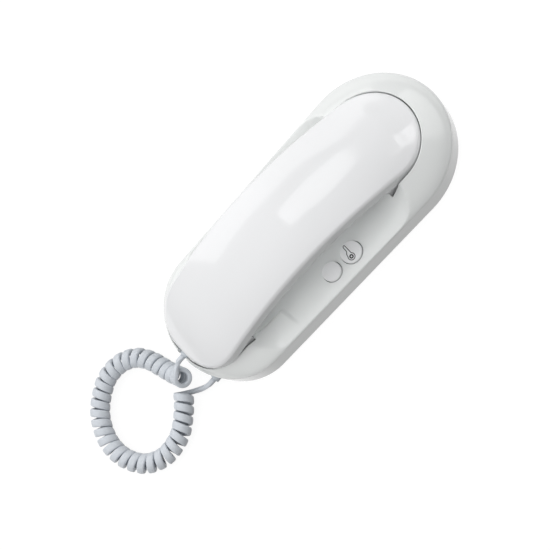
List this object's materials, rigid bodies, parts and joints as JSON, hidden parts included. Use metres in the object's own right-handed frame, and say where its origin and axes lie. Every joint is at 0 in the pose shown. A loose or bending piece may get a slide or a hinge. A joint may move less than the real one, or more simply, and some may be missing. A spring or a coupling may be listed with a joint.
{
  "type": "audio intercom handset",
  "caption": "Wall intercom: arched handset resting in a rounded cradle base with a door button, a second push button, a hook switch and a curly cord between handset and base.",
  "frame": {"origin": "middle of the base's back face, which lies on the resting surface", "axes": "+Y along the base towards the ear end, +Z out of the front away from the wall, +X towards the side with the buttons"},
  "size_m": [0.0928, 0.2972, 0.0583],
  "materials": {
    "white_shell": "smooth gloss",
    "white_button": "smooth satin",
    "plate_plastic": "fine matt",
    "board_green": "lacquered board",
    "dark_plastic": "fine matt",
    "terminal_green": "fine matt",
    "steel": "plain zinc",
    "capsule_metal": "satin",
    "weight_iron": "plain",
    "grey_rubber": "soft matt",
    "black_rubber": "soft matt",
    "cord_grey": "satin jacket"
  },
  "bodies": {
    "base": {"base_cover": "white_shell", "back_plate": "plate_plastic", "circuit_board": "board_green", "door_switch_body": "dark_plastic", "second_switch_body": "dark_plastic", "hook_switch": "dark_plastic", "hook_spring": "steel", "terminal_block": "terminal_green", "terminal_screws": "steel", "call_sounder": "dark_plastic", "board_screws": "steel", "cover_screws": "steel", "base_cord_grommet": "grey_rubber", "curly_cord": "cord_grey"},
    "door_button": {"door_button": "white_button", "door_switch_stem": "dark_plastic"},
    "second_button": {"second_button": "white_button", "second_switch_stem": "dark_plastic"},
    "hook": {"hook_plunger": "white_shell"},
    "handset": {"handset_front_shell": "white_shell", "handset_back_shell": "white_shell", "earpiece_capsule": "dark_plastic", "ear_gasket": "black_rubber", "microphone_capsule": "capsule_metal", "microphone_holder": "black_rubber", "handset_weight": "weight_iron", "handset_screws": "steel", "handset_cord_grommet": "grey_rubber"}
  },
  "joints": [
    {"name": "handset_lift", "type": "slide", "parent": "base", "child": "handset", "axis": [0, 0, 1], "range_m": [0, 0.07]},
    {"name": "hook_rise", "type": "slide", "parent": "base", "child": "hook", "axis": [0, 0, 1], "range_m": [0, 0.0025], "deforming": ["hook_spring"]},
    {"name": "door_press", "type": "slide", "parent": "base", "child": "door_button", "axis": [0, 0, -1], "range_m": [0, 0.001], "stiffness_N_per_m": 300},
    {"name": "second_press", "type": "slide", "parent": "base", "child": "second_button", "axis": [0, 0, -1], "range_m": [0, 0.001], "stiffness_N_per_m": 300}
  ],
  "couplings": [
    {"joint": "hook_rise", "follows": "handset_lift", "ratio": 0.0357}
  ]
}
